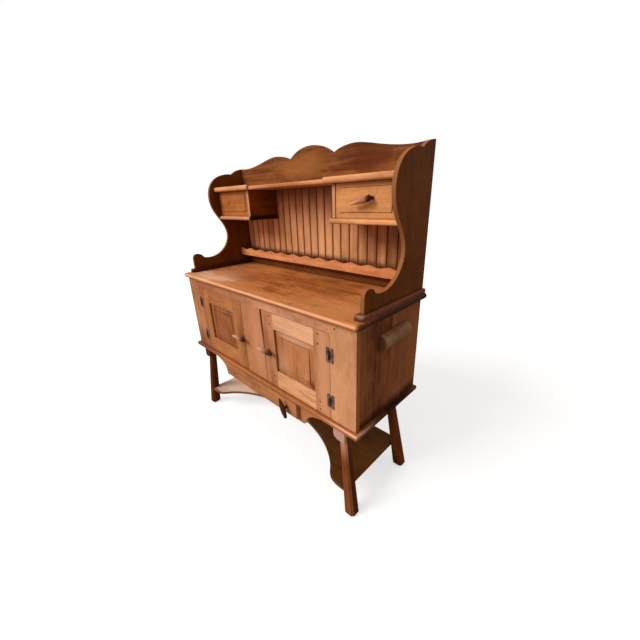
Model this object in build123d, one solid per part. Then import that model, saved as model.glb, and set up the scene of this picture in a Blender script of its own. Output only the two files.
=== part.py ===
from build123d import *
import os
from math import cos, pi, radians, sin

# A bakers cabinet: a cupboard on splayed legs with a scrolled hutch on top.
# Millimetres. x runs across the width, y from front to back with 0 at the face
# frame's front, and z up from the floor. The finished parts are moved along y
# at the end, so that the footprint is centred on the origin.

# Heights of the main levels
shelf_low = 110.0
case_floor = 461.0
case_top = 894.0
top_z = 917.0
gallery_z = 977.0
bay_z = 1226.0
upper_z = 1361.0
crest_z = 1547.0

# Case
half_w = 640.0
case_d = 446.0
side_t = 22.0
frame_t = 22.0
floor_t = 20.0
floor_reach = 18.0
floor_back = 4.0
top_reach = 18.0
top_back = 24.0
top_nose = 10.0
case_back_t = 12.0
case_back_boards = 6
case_back_groove = 2.5
stile_in = 514.0
centre_half = 83.0
rail_z = 848.0
peg_r = 4.0
peg_proud = 0.8
peg_depth = 18.0
frame_peg_x = 539.0
inner_shelf_z = 640.0
inner_shelf_t = 18.0
batten = 22.0

# Doors
door_gap = 1.6
door_free_gap = 3.4
door_stile_w = 85.0
door_top_rail = 76.0
door_low_rail = 90.0
tenon_t = 8.0
tenon_front = 7.0
tenon_len = 38.0
tenon_shoulder = 12.0
groove_t = 6.2
groove_front = 8.9
groove_d = 8.0
bevel_w = 32.0
peg_inset = 24.6
top_peg_rise = 17.6
low_peg_drop = 33.6
peg_pitch = (41.0, 37.0)

# H hinges
pin_y = -5.0
pin_r = 2.05
knuckle_r = 4.2
barrel_half = 16.0
door_knuckle_half = 5.3
leaf_half_h = 31.5
leaf_out = 17.5
leaf_corner = 2.0
leaf_t = 2.5
hinge_zs = (550.0, 759.0)

# Toggle pulls
shank_r = 6.0
toggle_off = 24.0
toggle_r = 12.0
toggle_butt_r = 7.0
toggle_tip_r = 4.0
toggle_ease = 2.0
toggle_steps = 4
door_toggle = (60.0, 46.0)
small_toggle = (90.0, 9.0)
apron_toggle = (54.0, 46.0)
screw_r = 2.0
screw_head_r = 4.5
screw_head_t = 3.0
right_pull_x = 124.0
left_pull_x = -101.0
door_pull_z = 652.0

# Lift handles
grip_y = (138.0, 328.0)
grip_z = 796.0
grip_r = 34.0
grip_hollow_r = 17.0
grip_wall = 26.0

# Stand
bearer_x = (526.0, 588.0)
bearer_y = (-6.0, 441.0)
bearer_h = 62.0
bearer_inner_r = 28.0
bearer_outer_r = 12.0
leg_foot_half = 27.0
leg_top_half = 18.5
leg_chamfer = 11.0
foot_chamfer = 8.0
leg_top_z = 380.0
leg_tenon_r = 13.0
front_foot = (615.0, 10.0)
front_hip = (563.0, 27.0)
rear_foot = (628.0, 390.0)
rear_hip = (567.0, 368.0)
shelf_half = 588.0
shelf_t = 18.0
shelf_front = -4.0
shelf_back = 410.0
horn_w = 38.0
hollow_rx = 514.0
hollow_ry = 303.0
hollow_y = -96.0
hollow_turn = 24.0

# Apron and its drawer
apron_y = (4.0, 24.0)
apron_z = 334.0
apron_lobe = (351.0, 19.0)
opening_half = 262.0
opening_z = 354.0
apron_pull = (240.0, 394.0)
apron_pull_turn = 68.0
apron_hole = (-226.0, 384.0)
apron_hole_r = 7.0
apron_front_overlap = 46.0
apron_front_y = -16.0
apron_box_len = 370.0
runner_t = 30.0
runner_ledge = 22.0
runner_back = 420.0

# Hutch
hutch_in = 620.0
hutch_t = 16.0
hutch_back = case_d + 16.0
shoe_reach = (16.0, 12.0)
shoe_front = hutch_back - 441.0
shoe_back = hutch_back + 7.0
shoe_top = 936.0
back_t = 12.0
back_boards = 23
back_groove = 4.0
crest_t = 18.0
crest_notch = (152.0, 49.0)
crest_lobe = (105.0, 21.0)
crest_swell = ((172.0, 39.5), (215.0, 27.5), (277.0, 22.0), (391.0, 39.0), (495.0, 56.0), (555.0, 60.0))
crest_end = 56.0
upper_t = 24.5
upper_mid_t = 18.0
upper_nose = 10.0
upper_mid_nose = 7.0
upper_end_front = hutch_back - 224.0
upper_mid_front = upper_end_front + 10.5
upper_step_x = 275.0
bay_front = hutch_back - 198.0
bay_in = 302.0
divider_t = 18.0
bay_floor_t = 20.0
bay_floor_front = bay_front - 12.0
bay_floor_in = 293.0
gallery_front = hutch_back - 89.0
scallop_t = 11.0
scallop_crest = 45.0
scallop_trough = 35.0
scallops = 12
gallery_shelf_t = 14.0
small_pull = (505.0, 1302.0)
small_pull_dip = 13.9
small_front_t = 18.0
small_field_step = 3.0
small_field_margin = ((20.0, 31.0), (25.0, 18.0))
small_box_len = 150.0
empty_hole_r = 4.5

# Outline of the scrolled sides: distances in front of the hutch's back, and heights, for the
# ear drops below the peak
scroll_foot = 418.5
scroll_toe = ((418.5, 988.0), (390.0, 1020.0), (350.0, 996.0))
scroll_sweep = (
    (297.0, 991.0), (212.0, 1030.0), (171.0, 1112.0), (200.0, 1196.0), (245.0, 1268.0),
    (257.0, 1340.0), (229.0, 1412.0), (166.0, 1452.0))
scroll_ear = ((90.0, 32.0), (54.0, 11.0))
scroll_peak = 1492.0

# Clearances
fit = 0.05
slide_gap = 0.2
drawer_side_gap = 1.5


def block(x, y, z):
    """A box between pairs of low and high coordinates."""
    size = [high - low for low, high in (x, y, z)]
    middle = [(high + low) / 2 for low, high in (x, y, z)]
    return Pos(*middle) * Box(*size)


def grown(limits, amount):
    return (limits[0] - amount, limits[1] + amount)


def other_side(part):
    return mirror(part, about=Plane.YZ)


def both(part):
    return [part, other_side(part)]


def front_board(edges, y):
    """A board cut to an outline of x and z, between two y limits."""
    face = Plane.XZ * make_face(edges)
    return Pos(0, y[0], 0) * extrude(face, amount=y[1] - y[0], dir=(0, 1, 0))


def side_board(edges, x):
    """A board cut to an outline of y and z, between two x limits."""
    face = Plane.YZ * make_face(edges)
    return Pos(x[0], 0, 0) * extrude(face, amount=x[1] - x[0], dir=(1, 0, 0))


def flat_board(edges, z):
    """A board cut to an outline of x and y, between two z limits."""
    return Pos(0, 0, z[0]) * extrude(make_face(edges), amount=z[1] - z[0], dir=(0, 0, 1))


def rod_y(x, y, z, radius):
    """A round rod along y."""
    length = y[1] - y[0]
    return Pos(x, y[0] + length / 2, z) * Rot(90, 0, 0) * Cylinder(radius, length)


def rod_z(x, y, z, radius):
    """A round rod along z."""
    return Pos(x, y, (z[0] + z[1]) / 2) * Cylinder(radius, z[1] - z[0])


def nosed(part, radius):
    """Round the edges of the top and bottom faces."""
    faces = part.faces().sort_by(Axis.Z)
    return fillet(faces[0].edges() + faces[-1].edges(), radius)


def front_nosed(part, radius):
    """Round the two long front edges."""
    return fillet(part.edges().filter_by(Axis.X).group_by(Axis.Y)[0], radius)


def boards(x, y, z, count, groove):
    """Upright boards edge to edge, with their corners eased to V joints.

    The joints show on the low-y face for a positive groove and on the
    high-y face for a negative one."""
    pitch = (x[1] - x[0]) / count
    face, rear = (y[0], y[1]) if groove > 0 else (y[1], y[0])
    made = []
    for step in range(count):
        low = x[0] + step * pitch
        high = low + pitch
        ease = abs(groove)
        outline = Polyline(
            (low, rear), (low, face + groove), (low + ease, face),
            (high - ease, face), (high, face + groove), (high, rear), close=True)
        made.append(flat_board(outline, z))
    return made


# ---------------------------------------------------------------- case

def worktop():
    slab = block(
        (-half_w - top_reach, half_w + top_reach),
        (-top_reach, case_d + top_back),
        (case_top, top_z))
    slab = fillet(slab.edges().filter_by(Axis.Z), 12)
    return nosed(slab, top_nose)


def case_side():
    return block((half_w - side_t, half_w), (frame_t, case_d), (case_floor, case_top))


def bottom_board():
    slab = block(
        (-half_w - floor_reach, half_w + floor_reach),
        (-floor_reach, case_d + floor_back),
        (case_floor - floor_t, case_floor))
    slab = fillet(slab.edges().filter_by(Axis.Z), 5)
    return nosed(slab, 6)


def case_back():
    inner = half_w - side_t
    return boards(
        (-inner, inner), (case_d - case_back_t, case_d), (case_floor, case_top),
        case_back_boards, -case_back_groove)


def rail_tenon_x():
    return (stile_in, stile_in + 40)


def rail_tenon(x):
    return block(x, (tenon_front, tenon_front + tenon_t), (rail_z + 8, case_top - 7))


def frame_peg(gap):
    z = (rail_z + case_top) / 2 + 1.5
    return rod_y(frame_peg_x, (-peg_proud, peg_depth), z, peg_r + gap)


def outer_stile():
    stile = block((stile_in, half_w), (0, frame_t), (case_floor, case_top))
    corner = stile.edges().filter_by(Axis.Z).sort_by(lambda e: e.center().X - e.center().Y)[-1]
    stile = fillet(corner, 3)
    return stile - rail_tenon(rail_tenon_x()) - frame_peg(fit)


def centre_stile():
    return block((-centre_half, centre_half), (0, frame_t), (case_floor, rail_z))


def top_rail():
    rail = block((-stile_in, stile_in), (0, frame_t), (rail_z, case_top))
    for tenon in both(rail_tenon(rail_tenon_x())):
        rail += tenon
    for hole in both(frame_peg(fit)):
        rail -= hole
    return rail


def inner_shelf():
    inner = half_w - side_t
    return block(
        (-inner, inner), (60, case_d - case_back_t),
        (inner_shelf_z, inner_shelf_z + inner_shelf_t))


def cupboard_battens():
    """Cleats under the inner shelf, and stops for the doors' free edges."""
    inner = half_w - side_t
    cleat = block(
        (inner - batten, inner), (60, case_d - case_back_t),
        (inner_shelf_z - batten, inner_shelf_z))
    stop = block(
        (centre_half - 20, centre_half + 12), (frame_t, frame_t + 12),
        (case_floor + 20, rail_z - 20))
    return both(cleat) + both(stop)


def lift_handle():
    """A half-log grip, hollowed underneath for the fingers."""
    log = rod_y(half_w, grip_y, grip_z, grip_r)
    grip = log & block(
        (half_w, half_w + grip_r), grip_y, (grip_z - grip_r, grip_z + grip_r))
    rims = grip.edges().filter_by(GeomType.CIRCLE)
    grip = fillet(rims, 5)
    return grip - rod_y(half_w + 8, grown(grip_y, -grip_wall), grip_z - grip_r, grip_hollow_r)


# ---------------------------------------------------------------- stand

def bearer_blank(grow):
    low = case_floor - floor_t - bearer_h
    bar = block(grown(bearer_x, grow), bearer_y, (low - grow, case_floor - floor_t))
    lower = bar.edges().filter_by(Axis.Y).group_by(Axis.Z)[0]
    bar = fillet(lower.sort_by(Axis.X)[0], bearer_inner_r + grow)
    outer = bar.edges().filter_by(Axis.Y).group_by(Axis.Z)[0].sort_by(Axis.X)[-1]
    return fillet(outer, bearer_outer_r + grow)


def leg_axis(foot, hip, z):
    """The point of a right-hand leg's centre line at a height."""
    rise = z / leg_top_z
    return (foot[0] + (hip[0] - foot[0]) * rise, foot[1] + (hip[1] - foot[1]) * rise, z)


def leg_section(foot, hip, z):
    half = leg_foot_half + (leg_top_half - leg_foot_half) * z / leg_top_z
    square = chamfer(Rectangle(2 * half, 2 * half).vertices(), leg_chamfer * half / leg_foot_half)
    return Pos(*leg_axis(foot, hip, z)) * square


def leg_tenon(foot, hip, gap):
    low = Vector(*leg_axis(foot, hip, leg_top_z - 60))
    high = Vector(*leg_axis(foot, hip, leg_top_z + 45))
    plane = Plane(origin=low, z_dir=high - low)
    return extrude(plane * Circle(leg_tenon_r + gap), amount=(high - low).length)


def leg(foot, hip):
    """A tapered, splayed leg scribed to the bearer and housed for the shelf."""
    sections = [leg_section(foot, hip, z) for z in (0, leg_top_z + 25)]
    blank = loft(sections)
    blank = chamfer(blank.faces().sort_by(Axis.Z)[0].edges(), foot_chamfer)
    blank -= bearer_blank(0.15)
    housing = block(
        (0, shelf_half), (shelf_front, shelf_back), (shelf_low, shelf_low + shelf_t))
    return blank - housing + leg_tenon(foot, hip, 0)


def bearer():
    bar = bearer_blank(0)
    bar = fillet(bar.edges().group_by(Axis.Y)[0].filter_by(Axis.Z), 3)
    bar -= leg_tenon(front_foot, front_hip, fit)
    return bar - leg_tenon(rear_foot, rear_hip, fit)


def lower_shelf():
    """A shelf with a deep elliptical hollow between two front horns."""
    low_turn = radians(hollow_turn)
    edge = (hollow_rx * cos(low_turn), hollow_y + hollow_ry * sin(low_turn))
    slope = (hollow_rx * sin(low_turn), -hollow_ry * cos(low_turn))
    horn = (shelf_half - horn_w, shelf_front)
    flare = Spline(edge, horn, tangents=[slope, (1, 0)])
    outer = Polyline(
        horn, (shelf_half, shelf_front), (shelf_half, shelf_back), (-shelf_half, shelf_back),
        (-shelf_half, shelf_front), (-horn[0], horn[1]))
    hollow = EllipticalCenterArc(
        (0, hollow_y), hollow_rx, hollow_ry, hollow_turn, arc_size=180 - 2 * hollow_turn)
    edges = [hollow, flare, mirror(flare, about=Plane.YZ), outer]
    return flat_board(edges, (shelf_low, shelf_low + shelf_t))


def apron():
    """A board with end lobes and coves, open at the top for its drawer."""
    top = case_floor - floor_t
    tail = (bearer_x[0], top - 14)
    lobe = (apron_lobe[0], apron_z + apron_lobe[1])
    flat_end = (lobe[0] - 26, apron_z)
    right = [
        Line((0, apron_z), flat_end),
        ThreePointArc(flat_end, (lobe[0] - 7, apron_z + 7), lobe),
        Spline(
            lobe, (lobe[0] + 11, apron_z + 46), (lobe[0] + 37, apron_z + 65),
            (lobe[0] + 88, top - 25), tail),
        Polyline(tail, (bearer_x[0], top), (0, top), (0, apron_z))]
    half = front_board(right, apron_y)
    board = half + other_side(half)
    return board - block((-opening_half, opening_half), apron_y, (opening_z, top))


def apron_runners():
    """L sections hung under the bottom board on both sides of the drawer."""
    top = case_floor - floor_t
    length = (apron_y[1], runner_back)
    outside = opening_half + runner_t
    ledge = block((opening_half - runner_ledge, outside), length, (opening_z - 15, opening_z))
    wall = block((opening_half, outside), length, (opening_z, top))
    return both(ledge + wall)


# ---------------------------------------------------------------- hutch

def scroll_side():
    """A side whose front edge has a toe, a hollow, a belly and an ear."""
    toe, toe_top, valley = [(-depth, z) for depth, z in scroll_toe]
    sweep = [(-depth, z) for depth, z in scroll_sweep]
    ear, ear_bow = [(-depth, scroll_peak - drop) for depth, drop in scroll_ear]
    peak = (0, scroll_peak)
    edges = [
        Polyline(peak, (0, shoe_top), (-scroll_foot, shoe_top), toe),
        Spline(toe, toe_top, valley, tangents=[(0, 1), (0.75, -1)]),
        Spline(valley, *sweep, ear),
        ThreePointArc(ear, ear_bow, peak)]
    board = side_board(edges, (hutch_in, hutch_in + hutch_t))
    return Pos(0, hutch_back, 0) * board


def shoe_x():
    return (hutch_in - shoe_reach[0], hutch_in + hutch_t + shoe_reach[1])


def shoe():
    bar = block(shoe_x(), (shoe_front, shoe_back), (top_z, shoe_top))
    uprights = bar.edges().filter_by(Axis.Z).group_by(Axis.Y)
    bar = fillet(uprights[0], 14)
    bar = fillet(bar.edges().filter_by(Axis.Z).group_by(Axis.Y)[-1], 5)
    bar = fillet(bar.faces().sort_by(Axis.Z)[-1].edges(), 7)
    behind = block((0, hutch_in), (hutch_back - back_t, shoe_back), (top_z, shoe_top))
    return bar - behind


def crest_board():
    """Five lobes: a high middle one, two long swells and two ends."""
    notch = (crest_notch[0], crest_z - crest_notch[1])
    lobe_top = (crest_lobe[0], crest_z - crest_lobe[1])
    end = (hutch_in, crest_z - crest_end)
    lobe = Spline(
        (-notch[0], notch[1]), (-lobe_top[0], lobe_top[1]), (0, crest_z), lobe_top, notch)
    swell = Spline(notch, *[(x, crest_z - drop) for x, drop in crest_swell], end)
    left = mirror(swell, about=Plane.YZ)
    foot = Polyline(end, (hutch_in, upper_z), (-hutch_in, upper_z), (-hutch_in, end[1]))
    return front_board([lobe, swell, left, foot], (hutch_back - crest_t, hutch_back))


def hutch_back_boards():
    return boards(
        (-hutch_in, hutch_in), (hutch_back - back_t, hutch_back), (top_z, upper_z),
        back_boards, back_groove)


def base_rail():
    rear = hutch_back - back_t
    step = top_z + 26
    low = block((-hutch_in, hutch_in), (rear - 14, rear), (top_z, step))
    high = block((-hutch_in, hutch_in), (rear - 8, rear), (step, gallery_z))
    shoe_end = block((shoe_x()[0], hutch_in), (0, hutch_back), (top_z, shoe_top))
    return low + high - shoe_end - other_side(shoe_end)


def gallery_shelf():
    return block(
        (-hutch_in, hutch_in), (gallery_front + scallop_t, hutch_back - back_t),
        (gallery_z, gallery_z + gallery_shelf_t))


def scalloped_rail():
    """A low gallery rail with a waved top edge."""
    middle = (scallop_crest + scallop_trough) / 2
    swing = (scallop_crest - scallop_trough) / 2
    count = 4 * scallops
    points = []
    for step in range(count + 1):
        x = -hutch_in + 2 * hutch_in * step / count
        points.append((x, gallery_z + middle + swing * cos(2 * pi * scallops * step / count)))
    edges = [
        Spline(points, tangents=[(1, 0), (1, 0)]),
        Polyline(points[-1], (hutch_in, gallery_z), (-hutch_in, gallery_z), points[0])]
    return front_board(edges, (gallery_front, gallery_front + scallop_t))


def upper_shelf():
    """The middle of the shelf is thinner than its two ends and set back from them."""
    rear = hutch_back - crest_t
    middle = block(
        (-upper_step_x, upper_step_x), (upper_mid_front, rear), (upper_z, upper_z + upper_mid_t))
    middle = front_nosed(middle, upper_mid_nose)
    end = block((upper_step_x, hutch_in), (upper_end_front, rear), (upper_z, upper_z + upper_t))
    end = front_nosed(end, upper_nose)
    shelf = middle
    for piece in both(end):
        shelf += piece
    return shelf


def bay_divider():
    return block((bay_in, bay_in + divider_t), (bay_front, hutch_back - back_t), (bay_z, upper_z))


def bay_floor():
    slab = block(
        (bay_floor_in, hutch_in), (bay_floor_front, hutch_back - back_t),
        (bay_z - bay_floor_t, bay_z))
    return front_nosed(slab, 8)


# ---------------------------------------------------------------- hinges

def hinge_leaf(side, z):
    """One strap of an H hinge. side is +1 outside the pin and -1 inside it."""
    near = knuckle_r + 0.4
    strap = block(
        sorted((stile_in + side * near, stile_in + side * leaf_out)), (-leaf_t, 0),
        grown((z, z), leaf_half_h))
    return chamfer(strap.edges().filter_by(Axis.Y), leaf_corner)


def knuckle(side, z):
    """A knuckle between two heights, and the web that joins it to its strap."""
    ring = rod_z(stile_in, pin_y, z, knuckle_r) - rod_z(stile_in, pin_y, z, pin_r + fit)
    web_x = sorted((stile_in + side * 0.8, stile_in + side * (knuckle_r + 1)))
    web = block(web_x, (-leaf_t, -0.0), z)
    return ring + (web - rod_z(stile_in, pin_y, z, pin_r + fit))


def hinge_frame_leaf(z):
    inner = door_knuckle_half + slide_gap
    leaf = hinge_leaf(1, z)
    leaf += knuckle(1, (z - barrel_half, z - inner))
    return leaf + knuckle(1, (z + inner, z + barrel_half))


def hinge_door_leaf(z):
    return hinge_leaf(-1, z) + knuckle(-1, (z - door_knuckle_half, z + door_knuckle_half))


def hinge_pin(z):
    pin = rod_z(stile_in, pin_y, (z - barrel_half - fit, z + barrel_half + fit), pin_r)
    for side in (-1, 1):
        ends = sorted((z + side * (barrel_half + fit), z + side * (barrel_half + 2)))
        pin += rod_z(stile_in, pin_y, ends, 3.2)
    return pin


def hinge_frame_leaves():
    made = []
    for z in hinge_zs:
        made += both(hinge_frame_leaf(z)) + both(hinge_pin(z))
    return made


# ---------------------------------------------------------------- doors, right-hand one

def door_x():
    return (centre_half + door_free_gap, stile_in - door_gap)


def door_z():
    return (case_floor + door_gap, rail_z - door_gap)


def panel_x():
    return (door_x()[0] + door_stile_w, door_x()[1] - door_stile_w)


def panel_z():
    return (door_z()[0] + door_low_rail, door_z()[1] - door_top_rail)


def door_groove():
    return block(
        grown(panel_x(), groove_d), (groove_front, groove_front + groove_t),
        grown(panel_z(), groove_d))


def door_peg_spots():
    """Two pegs through each of the four corner joints."""
    spots = []
    top = panel_z()[1] + top_peg_rise
    low = panel_z()[0] - low_peg_drop
    for x in (panel_x()[0] - peg_inset, panel_x()[1] + peg_inset):
        spots += [(x, top), (x, top + peg_pitch[0]), (x, low), (x, low - peg_pitch[1])]
    return spots


def door_pegs(gap):
    return [rod_y(x, (-peg_proud, peg_depth), z, peg_r + gap) for x, z in door_peg_spots()]


def door_rail(z):
    """A rail with a tenon at each end."""
    bar = block(panel_x(), (0, frame_t), z)
    tongue = block(
        grown(panel_x(), tenon_len), (tenon_front, tenon_front + tenon_t),
        grown(z, -tenon_shoulder))
    return bar + tongue


def door_rails():
    rails = [
        door_rail((door_z()[0], panel_z()[0])),
        door_rail((panel_z()[1], door_z()[1]))]
    for cutter in [door_groove()] + door_pegs(fit):
        rails = [rail - cutter for rail in rails]
    return rails


def door_stiles(pull_x):
    pull_hole = rod_y(pull_x, (-1, frame_t + 1), door_pull_z, screw_r + fit)
    stiles = [
        block((door_x()[0], panel_x()[0]), (0, frame_t), door_z()),
        block((panel_x()[1], door_x()[1]), (0, frame_t), door_z())]
    cutters = [door_groove(), pull_hole] + door_pegs(fit)
    cutters.append(door_rail((door_z()[0], panel_z()[0])))
    cutters.append(door_rail((panel_z()[1], door_z()[1])))
    for cutter in cutters:
        stiles = [stile - cutter for stile in stiles]
    return stiles


def rect_face(x, y, z):
    """An upright rectangle at one y."""
    face = Plane.XZ * Rectangle(x[1] - x[0], z[1] - z[0])
    return Pos((x[0] + x[1]) / 2, y, (z[0] + z[1]) / 2) * face


def door_panel():
    """A raised panel: a tongue, a wide bevel and a flat field."""
    tongue = block(
        grown(panel_x(), groove_d - slide_gap),
        (groove_front + 0.1, groove_front + groove_t - 0.1),
        grown(panel_z(), groove_d - slide_gap))
    face_x = grown(panel_x(), -0.3)
    face_z = grown(panel_z(), -0.3)
    bevel = loft([
        rect_face(face_x, groove_front + 1, face_z),
        rect_face(grown(face_x, -bevel_w), 5.5, grown(face_z, -bevel_w))])
    field = block(grown(face_x, -bevel_w - 1), (4, 8), grown(face_z, -bevel_w - 1))
    return tongue + bevel + field


def door_hinge_leaves():
    return [hinge_door_leaf(z) for z in hinge_zs]


# ---------------------------------------------------------------- drawers

def small_drawer_front(pull_hole):
    """A front for the right-hand bay, its raised field stepped up from the margin."""
    x = (bay_in + divider_t + drawer_side_gap, hutch_in - drawer_side_gap)
    z = (bay_z + slide_gap, upper_z - drawer_side_gap)
    side_margin, end_margin = small_field_margin
    face = bay_front + small_field_step
    body = block(x, (face, bay_front + small_front_t), z)
    field = block(
        (x[0] + side_margin[0], x[1] - side_margin[1]), (bay_front, face + 1),
        (z[0] + end_margin[0], z[1] - end_margin[1]))
    field = chamfer(field.faces().sort_by(Axis.Y)[0].edges(), 1.2)
    return body + field - rod_y(small_pull[0], (0, hutch_back), small_pull[1], pull_hole)


def drawer_box(x, y, z, wall, base):
    """Sides, a back and a bottom as four boards behind a drawer front."""
    rear = (y[1] - wall, y[1])
    made = [
        block((x[0], x[0] + wall), y, z),
        block((x[1] - wall, x[1]), y, z),
        block((x[0] + wall, x[1] - wall), rear, z),
        block((x[0] + wall, x[1] - wall), (y[0], rear[0]), (z[0] + 4, z[0] + 4 + base))]
    return made


def small_drawer_box():
    x = (bay_in + divider_t + drawer_side_gap, hutch_in - drawer_side_gap)
    front = bay_front + small_front_t
    y = (front, front + small_box_len)
    return drawer_box(x, y, (bay_z + slide_gap, upper_z - 22), 10, 6)


def apron_drawer_front():
    half = opening_half + apron_front_overlap
    slab = block(
        (-half, half), (apron_front_y, apron_y[0]), (opening_z + 3, case_floor - floor_t - 3))
    slab = fillet(slab.edges().group_by(Axis.Y)[0], 3)
    through = (apron_front_y - 1, apron_y[1])
    slab -= rod_y(apron_pull[0], through, apron_pull[1], screw_r + fit)
    return slab - rod_y(apron_hole[0], through, apron_hole[1], apron_hole_r)


def apron_drawer_box():
    half = opening_half - drawer_side_gap
    z = (opening_z + slide_gap, case_floor - floor_t - 5)
    return drawer_box((-half, half), (apron_y[0], apron_y[0] + apron_box_len), z, 12, 8)


# ---------------------------------------------------------------- toggles

def toggle_half(reach, end_r):
    """Turned steps from an end towards the thickest place, over the shank."""
    points = [(reach, 0), (reach, end_r - toggle_ease)]
    for step in range(toggle_steps):
        share = step / toggle_steps
        along = (reach - toggle_ease) * (1 - share)
        points.append((along, end_r + (toggle_r - end_r) * sin(pi / 2 * share)))
    return points


def toggle(board, reach):
    """A turned spindle pointing to -x, its shank's foot at the origin.

    reach gives the lengths to its tip and to its butt. The screw's head sits
    behind a board of the given thickness."""
    tip, butt = reach
    outline = toggle_half(butt, toggle_butt_r)
    outline += [(0, toggle_r)]
    outline += [(-x, r) for x, r in reversed(toggle_half(tip, toggle_tip_r))]
    profile = make_face(Polyline(*outline, close=True))
    body = Pos(0, -toggle_off, 0) * revolve(profile, Axis.X)
    body += rod_y(0, (-toggle_off, -slide_gap), 0, shank_r)
    body -= rod_y(0, (-toggle_off + 4, 0), 0, screw_r + 0.02)
    screw = rod_y(0, (-toggle_off + 4.1, board + slide_gap / 2), 0, screw_r)
    screw += rod_y(0, (board + slide_gap / 2, board + screw_head_t), 0, screw_head_r)
    return [body, screw]


def placed(parts, x, y, z, turn):
    """Toggles turned about y and set on their face."""
    return [Pos(x, y, z) * Rot(0, turn, 0) * part for part in parts]


# ---------------------------------------------------------------- assembly

def all_nodes():
    nodes = {
        "worktop": worktop(),
        "bottom_board": bottom_board(),
        "case_back": case_back(),
        "centre_face_stile": centre_stile(),
        "top_face_rail": top_rail(),
        "frame_pegs": both(frame_peg(0)),
        "inner_shelf": inner_shelf(),
        "cupboard_battens": cupboard_battens(),
        "lower_shelf": lower_shelf(),
        "apron_board": apron(),
        "apron_runners": apron_runners(),
        "crest_board": crest_board(),
        "back_boards": hutch_back_boards(),
        "base_rail": base_rail(),
        "gallery_shelf": gallery_shelf(),
        "scalloped_rail": scalloped_rail(),
        "upper_shelf": upper_shelf(),
        "hinge_frame_leaves": hinge_frame_leaves(),
        "apron_drawer_front": apron_drawer_front(),
        "apron_drawer_box": apron_drawer_box(),
        "right_small_drawer_front": small_drawer_front(screw_r + fit),
        "left_small_drawer_front": other_side(small_drawer_front(empty_hole_r)),
        "right_door_stiles": door_stiles(right_pull_x),
        "left_door_stiles": [other_side(stile) for stile in door_stiles(-left_pull_x)],
    }
    paired = {
        "case_side": case_side(),
        "face_stile": outer_stile(),
        "lift_handle": lift_handle(),
        "bearer": bearer(),
        "front_leg": leg(front_foot, front_hip),
        "rear_leg": leg(rear_foot, rear_hip),
        "scroll_side": scroll_side(),
        "shoe": shoe(),
        "bay_divider": bay_divider(),
        "bay_floor": bay_floor(),
        "door_rails": door_rails(),
        "door_panel": door_panel(),
        "door_pegs": door_pegs(0),
        "door_hinge_leaves": door_hinge_leaves(),
        "small_drawer_box": small_drawer_box(),
    }
    for name, shape in paired.items():
        solids = shape if isinstance(shape, list) else [shape]
        nodes["right_" + name] = solids
        nodes["left_" + name] = [other_side(solid) for solid in solids]
    door_pull = toggle(frame_t, door_toggle)
    nodes["right_door_toggle"] = placed(door_pull, right_pull_x, 0, door_pull_z, 0)
    nodes["left_door_toggle"] = placed(door_pull, left_pull_x, 0, door_pull_z, 0)
    nodes["right_small_drawer_toggle"] = placed(
        toggle(small_front_t, small_toggle), small_pull[0], bay_front, small_pull[1],
        -small_pull_dip)
    nodes["apron_drawer_toggle"] = placed(
        toggle(apron_y[0] - apron_front_y, apron_toggle), apron_pull[0], apron_front_y,
        apron_pull[1], apron_pull_turn)
    return nodes


def solids_of(shape):
    pieces = shape if isinstance(shape, list) else [shape]
    found = []
    for piece in pieces:
        found += piece.solids()
    return found


def main():
    os.makedirs("parts", exist_ok=True)
    nodes = {name: solids_of(shape) for name, shape in all_nodes().items()}
    boxes = [solid.bounding_box() for solids in nodes.values() for solid in solids]
    front = min(box.min.Y for box in boxes)
    rear = max(box.max.Y for box in boxes)
    centred = Pos(0, -(front + rear) / 2, 0)
    for name, solids in nodes.items():
        moved = [centred * solid for solid in solids]
        export_step(moved[0] if len(moved) == 1 else Compound(moved), f"parts/{name}.step")


main()
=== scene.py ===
from math import asin, cos, pi, radians, sin

import bmesh
import bpy
from mathutils import Matrix, Vector


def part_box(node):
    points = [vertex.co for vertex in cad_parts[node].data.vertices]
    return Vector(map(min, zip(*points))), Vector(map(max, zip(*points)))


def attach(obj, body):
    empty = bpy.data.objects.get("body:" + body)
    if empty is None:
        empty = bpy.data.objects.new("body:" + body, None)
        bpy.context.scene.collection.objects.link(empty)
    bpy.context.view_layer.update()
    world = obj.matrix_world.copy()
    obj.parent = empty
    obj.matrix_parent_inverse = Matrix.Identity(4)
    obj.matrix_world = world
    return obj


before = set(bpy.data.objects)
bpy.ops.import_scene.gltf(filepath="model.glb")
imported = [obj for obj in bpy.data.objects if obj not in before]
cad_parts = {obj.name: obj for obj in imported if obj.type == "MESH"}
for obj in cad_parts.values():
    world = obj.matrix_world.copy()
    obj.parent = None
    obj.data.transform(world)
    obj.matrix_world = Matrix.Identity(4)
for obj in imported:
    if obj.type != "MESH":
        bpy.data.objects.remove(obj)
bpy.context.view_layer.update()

# Lengths are in metres. The tones of wood and iron are written 0 to 255 in sRGB.

# ---------------------------------------------------------------- places in the frame

face_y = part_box("centre_face_stile")[0][1]
top_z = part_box("worktop")[1][2]
shelf_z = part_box("lower_shelf")[1][2]
rail_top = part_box("scalloped_rail")[1][2]
bead_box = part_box("back_boards")
bead_count = 23
bead_planks = (bead_box[0][0], (bead_box[1][0] - bead_box[0][0]) / bead_count)

# The hinges' iron leaves: sideways from the pin to a leaf's far edge and to its screws, and
# up from a leaf's middle to its end and to its screws
leaf_out = 0.0175
screw_out = 0.0112
leaf_half_h = 0.0315
screw_up = 0.021
leaf_t = 0.0025
leaves_low, leaves_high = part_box("hinge_frame_leaves")
pin_x = leaves_high[0] - leaf_out


# ---------------------------------------------------------------- camera

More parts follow.
